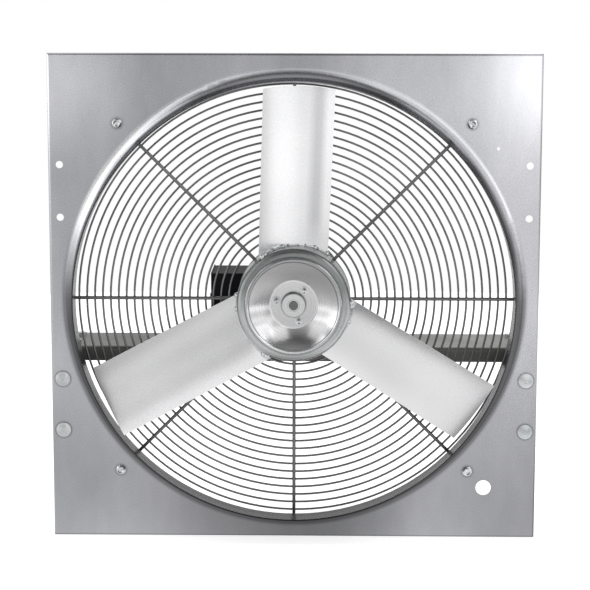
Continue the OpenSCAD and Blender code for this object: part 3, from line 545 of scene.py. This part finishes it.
# Beads set along a line, each a flattened drop that leans with the line
def buildBeads():
    tree, given, result = newGroup("beadRow", "GeometryNodeTree", dropInputs + [("Step", "NodeSocketFloat", 0.002)],
                                   [("Geometry", "NodeSocketGeometry")])
    line = addNode(tree, "GeometryNodeMeshToCurve", {"Mesh": given["Geometry"]}).outputs[0]
    even = addNode(tree, "GeometryNodeResampleCurve", {"Curve": line, "Length": given["Step"]}, mode="LENGTH")
    along = addNode(tree, "GeometryNodeInputTangent")
    lean = addNode(tree, "FunctionNodeAlignRotationToVector", {"Vector": along.outputs[0]}, axis="X")
    rows = addNode(tree, "GeometryNodeInstanceOnPoints", {
        "Points": even.outputs[0], "Rotation": lean.outputs[0], **makeDrop(tree, given, segments=10, rings=6)})
    return closeTree(tree, given, result, rows.outputs[0])


# Drops on single points, for spot welds and weld stops
def buildSpots():
    tree, given, result = newGroup("spotWelds", "GeometryNodeTree", dropInputs, [("Geometry", "NodeSocketGeometry")])
    laid = addNode(tree, "GeometryNodeInstanceOnPoints", {
        "Points": given["Geometry"], **makeDrop(tree, given, segments=8, rings=5)})
    return closeTree(tree, given, result, laid.outputs[0])


thread, beads, spots = buildThread(), buildBeads(), buildSpots()


def cutThreads():
    back, up = (radians(-90), 0.0, 0.0), (0.0, 0.0, 0.0)
    sizes = {
        ("boltThreads", "frame"): {
            "support": {"at": [(x, 0.0146, z) for x, z in boltPlaces["support"]],
                        "Radius": 0.00474, "Pitch": 0.00159, "Length": 0.0050, "Ridge": 0.00042, "Turn": back},
            "guard": {"at": [(x, 0.0138, z) for x, z in boltPlaces["guard"]],
                      "Radius": 0.00308, "Pitch": 0.00127, "Length": 0.0020, "Ridge": 0.00034, "Turn": back},
            "platform": {"at": [(x, y, -0.0919) for x in (-0.32145, 0.32145) for y in (0.067, 0.131)],
                         "Radius": 0.00358, "Pitch": 0.00141, "Length": 0.0034, "Ridge": 0.00036, "Turn": up},
            "motor": {"at": [(x, 0.105 + y, -0.0909) for x in (-0.054, 0.054) for y in (-0.035, 0.035)],
                      "Radius": 0.00358, "Pitch": 0.00141, "Length": 0.0050, "Ridge": 0.00036, "Turn": up},
        },
        ("hubScrewThreads", "rotor"): {
            "hub": {"at": [(x, -0.0337, z) for x, z in boltPlaces["hub"]],
                    "Radius": 0.00238, "Pitch": 0.00106, "Length": 0.0023, "Ridge": 0.00028, "Turn": back},
        },
    }
    finish = {"Finish": finishes["zinc_fastener"]}
    for (name, body), bolts in sizes.items():
        grown = [growMesh(thread, bolt["at"], [], {**bolt, **finish}) for bolt in bolts.values()]
        addPiece(name, grown, body, "zinc_fastener")


# The blade roots: rolled sheet that leans by its pitch where it meets the drum
bladeRoot = {"blades": 3, "drum": 0.0805, "roll": 0.180, "chord": 0.110, "pitch": 28.0, "middle": -0.029,
             "arcHeight": -0.08046}


# A point of a root at a height, off from the sheet's middle and out from the drum
def rootPoint(blade, height, off, out):
    reach, pitch = sqrt(bladeRoot["roll"] ** 2 - bladeRoot["chord"] ** 2 / 4), radians(bladeRoot["pitch"])
    angle = asin((height - bladeRoot["arcHeight"]) / bladeRoot["roll"])
    y = bladeRoot["middle"] - reach * cos(pitch) + (bladeRoot["roll"] + off) * cos(angle)
    z = -reach * sin(pitch) + (bladeRoot["roll"] + off) * sin(angle)
    drum = bladeRoot["drum"] + out
    x, around = sqrt(drum ** 2 - z ** 2), radians(90 + 360 / bladeRoot["blades"] * blade)
    return (x * cos(around) - z * sin(around), y, x * sin(around) + z * cos(around))


def weldBlades():
    sizes = {
        "stitches": {"starts": (-0.047, -0.029, -0.005, 0.016, 0.032), "run": 0.012, "points": 6, "off": 0.0021,
                     "out": 0.0007, "seed": 11},
        "ripples": {"Step": 0.0021, "Size": 0.0021, "Shape": (0.75, 1.0, 1.0), "Spread": 0.14},
        # Heavier stops where some runs were started and ended
        "stops": {"heights": (0.0455, 0.0415, 0.017, -0.029, -0.046), "off": -0.0018, "out": 0.001, "seed": 31},
        "lumps": {"Size": 0.0046, "Shape": (1.0, 1.0, 1.0), "Spread": 0.16},
    }
    stitches, stops, finish = sizes["stitches"], sizes["stops"], {"Finish": finishes["zinc_fastener"]}
    grown = []
    for blade in range(bladeRoot["blades"]):
        for side in (-1, 1):
            row, joins = [], []
            for start in stitches["starts"]:
                for i in range(stitches["points"]):
                    if i:
                        joins.append((len(row) - 1, len(row)))
                    height = start + stitches["run"] * i / (stitches["points"] - 1)
                    row.append(rootPoint(blade, height, side * stitches["off"], stitches["out"]))
            grown.append(growMesh(beads, row, joins, {
                **sizes["ripples"], "Seed": stitches["seed"] + 2 * blade + side, **finish}))
        points = [rootPoint(blade, height, stops["off"], stops["out"]) for height in stops["heights"]]
        grown.append(growMesh(spots, points, [], {**sizes["lumps"], "Seed": stops["seed"] + blade, **finish}))
    addPiece("rootWeldRipples", grown, "rotor", "zinc_fastener")


# A weld wherever a spoke crosses the inner ring or the spiral, whose half turns have two centres
def weldGuard():
    sizes = {"spokes": 8, "ring": 0.0785, "start": 0.0878, "pitch": 0.01136, "halfTurns": 43, "level": 0.01225,
             "near": 1e-6, "welds": {"Size": 0.0026, "Shape": (1.0, 0.42, 1.0), "Spread": 0.2, "Seed": 7}}
    places = []
    for spoke in range(sizes["spokes"]):
        angle = radians(360 / sizes["spokes"] * spoke)
        places.append((sizes["ring"] * cos(angle), sizes["level"], sizes["ring"] * sin(angle)))
        for half in range(sizes["halfTurns"]):
            side = 1 if half % 2 == 0 else -1
            centre, radius = -side * sizes["pitch"] / 4, sizes["start"] + sizes["pitch"] * (half / 2 + 0.25)
            reach = centre * cos(angle) + sqrt(radius ** 2 - (centre * sin(angle)) ** 2)
            x, z = reach * cos(angle), reach * sin(angle)
            if side * z > sizes["near"] or (abs(z) < sizes["near"] and side * x > 0):
                places.append((x, sizes["level"], z))
    grown = growMesh(spots, places, [], {**sizes["welds"], "Finish": finishes["guard_wire"]})
    addPiece("guardSpotWelds", [grown], "frame", "guard_wire")


cutThreads()
weldBlades()
weldGuard()


def setCamera():
    sizes = {"place": (0.04203, -2.67957, 0.42214), "turn": (81.184, -0.10, 0.888), "lens": 115.81, "sensor": 36.0,
             "near": 0.05, "far": 100}
    lens = bpy.data.cameras.new("camera")
    lens.lens, lens.sensor_width, lens.sensor_fit = sizes["lens"], sizes["sensor"], "HORIZONTAL"
    lens.clip_start, lens.clip_end = sizes["near"], sizes["far"]
    camera = bpy.data.objects.new("camera", lens)
    scene.collection.objects.link(camera)
    camera.location = sizes["place"]
    camera.rotation_euler = [radians(a) for a in sizes["turn"]]
    scene.camera = camera


# Each soft box: degrees right of the front and up as seen from the fan, and its glow
def hangLamps():
    sizes = {"far": 3.1, "wide": 1.5, "tall": 1.2, "wattsPerArea": 4, "lamps": {
        "farLeft": {"right": -100, "up": 25, "glow": 0.85},
        "leftHigh": {"right": -75, "up": 45, "glow": 0.75},
        "leftLow": {"right": -75, "up": 8, "glow": 1.05},
        "nearLeftHigh": {"right": -48, "up": 32, "glow": 0.4},
        "nearLeftLow": {"right": -48, "up": 5, "glow": 0.6},
        "overCamera": {"right": 12, "up": 6, "glow": 0.5},
        "nearRightHigh": {"right": 28, "up": 38, "glow": 0.6},
        "nearRightLow": {"right": 35, "up": 5, "glow": 0.25},
        "rightMiddle": {"right": 55, "up": 30, "glow": 0.65},
        "rightLow": {"right": 62, "up": 2, "glow": 0.5},
        "rightHigh": {"right": 80, "up": 45, "glow": 1.8},
        "farRight": {"right": 100, "up": 18, "glow": 0.7},
        "behind": {"right": 165, "up": 30, "glow": 0.9},
    }}
    for name, lamp in sizes["lamps"].items():
        right, up = radians(lamp["right"]), radians(lamp["up"])
        place = Vector((sin(right) * cos(up), -cos(right) * cos(up), sin(up))) * sizes["far"]
        light = bpy.data.lights.new(name, "AREA")
        light.shape, light.size, light.size_y = "RECTANGLE", sizes["wide"], sizes["tall"]
        light.energy = sizes["wattsPerArea"] * sizes["wide"] * sizes["tall"] * lamp["glow"]
        holder = bpy.data.objects.new(name, light)
        scene.collection.objects.link(holder)
        holder.location = place
        holder.rotation_euler = (-place).to_track_quat("-Z", "Y").to_euler()


# Straight blends between set places: each place gets a mask that is 1 there and 0 at its neighbours
def placeMasks(tree, value, places):
    masks = []
    for i, place in enumerate(places):
        sides = []
        if i > 0:
            sides.append(mapRange(tree, value, places[i - 1], place))
        if i < len(places) - 1:
            sides.append(mapRange(tree, value, place, places[i + 1], 1.0, 0.0))
        masks.append(mathNode(tree, "MINIMUM", *sides) if len(sides) == 2 else sides[0])
    return masks


def weighted(tree, masks, amounts):
    total = None
    for mask, amount in zip(masks, amounts):
        share = multiply(tree, mask, amount)
        total = share if total is None else mathNode(tree, "ADD", total, share)
    return total


# Which rays see a plain white ground, and the path they come by
def seenRays(tree):
    path = addNode(tree, "ShaderNodeLightPath").outputs
    return path, mathNode(tree, "MAXIMUM", path["Is Camera Ray"], path["Is Transmission Ray"])


# Rows are the glow that shiny faces see of the floor, a painted reflection seen by glossy rays only, by metres ahead of
# the panel: left, middle and right of it
def layFloor():
    sizes = {"radius": 2.4, "corners": 96, "under": 0.0005, "matte": 0.8, "seen": 0.72, "side": 0.35, "rows": {
        0.0: (0.8, 1.15, 1.1), 0.3: (0.7, 0.72, 1.1), 0.7: (0.85, 1.5, 0.5), 1.2: (0.8, 0.62, 0.46),
        1.8: (1.0, 0.7, 0.35)}}
    height, corners = cadBounds[0][2] - sizes["under"], range(sizes["corners"])
    mesh = bpy.data.meshes.new("floor")
    mesh.from_pydata([(sizes["radius"] * cos(2 * pi * i / sizes["corners"]),
                       sizes["radius"] * sin(2 * pi * i / sizes["corners"]), height) for i in corners], [], [corners])
    floor = bpy.data.objects.new("floor", mesh)
    scene.collection.objects.link(floor)
    material = bpy.data.materials.new("paleFloor")
    material.use_nodes = True
    tree = material.node_tree
    tree.nodes.clear()
    path, seen = seenRays(tree)
    white = (1, 1, 1, 1)
    matte = addNode(tree, "ShaderNodeBsdfDiffuse", {"Color": (sizes["matte"], sizes["matte"], sizes["matte"], 1)})
    glow = addNode(tree, "ShaderNodeEmission", {"Color": white, "Strength": multiply(tree, seen, sizes["seen"])})
    split = splitPlace(tree)
    across = placeMasks(tree, split["X"], [-sizes["side"], 0.0, sizes["side"]])
    ahead = placeMasks(tree, multiply(tree, split["Y"], -1.0), list(sizes["rows"]))
    level = weighted(tree, ahead, [weighted(tree, across, row) for row in sizes["rows"].values()])
    sheen = addNode(tree, "ShaderNodeEmission", {"Color": white, "Strength": level})
    mixed = addNode(tree, "ShaderNodeMixShader", {0: path["Is Glossy Ray"], 1: matte.outputs[0], 2: sheen.outputs[0]})
    both = addNode(tree, "ShaderNodeAddShader", {0: mixed.outputs[0], 1: glow.outputs[0]})
    addNode(tree, "ShaderNodeOutputMaterial", {"Surface": both.outputs[0]})
    floor.data.materials.append(material)


# Bands are what the object sees of the air, by degrees up: towards the front and towards the back
def fillAir():
    sizes = {"turnOver": 0.35, "ground": 1.0, "bands": {
        -5: (1.1, 1.0), 4: (0.05, 1.0), 14: (1.0, 1.0), 30: (0.42, 0.95), 50: (0.05, 0.9), 80: (0.38, 0.7)}}
    world = bpy.data.worlds.new("studio")
    scene.world = world
    world.use_nodes = True
    tree = world.node_tree
    tree.nodes.clear()
    seen = seenRays(tree)[1]
    way = splitPlace(tree, addNode(tree, "ShaderNodeTexCoord").outputs["Generated"])
    masks = placeMasks(tree, way["Z"], [sin(radians(up)) for up in sizes["bands"]])
    toFront = mapRange(tree, way["Y"], -sizes["turnOver"], sizes["turnOver"], 1.0, 0.0)
    front, back = [weighted(tree, masks, glows) for glows in zip(*sizes["bands"].values())]
    level = mathNode(tree, "ADD", multiply(tree, front, toFront), multiply(tree, back, leftOver(tree, toFront)))
    white = (1, 1, 1, 1)
    air = addNode(tree, "ShaderNodeBackground", {"Color": white, "Strength": level})
    ground = addNode(tree, "ShaderNodeBackground", {"Color": white, "Strength": sizes["ground"]})
    mix = addNode(tree, "ShaderNodeMixShader", {0: seen, 1: air.outputs[0], 2: ground.outputs[0]})
    addNode(tree, "ShaderNodeOutputWorld", {"Surface": mix.outputs[0]})


setCamera()
hangLamps()
layFloor()
fillAir()
print("camera and studio set")
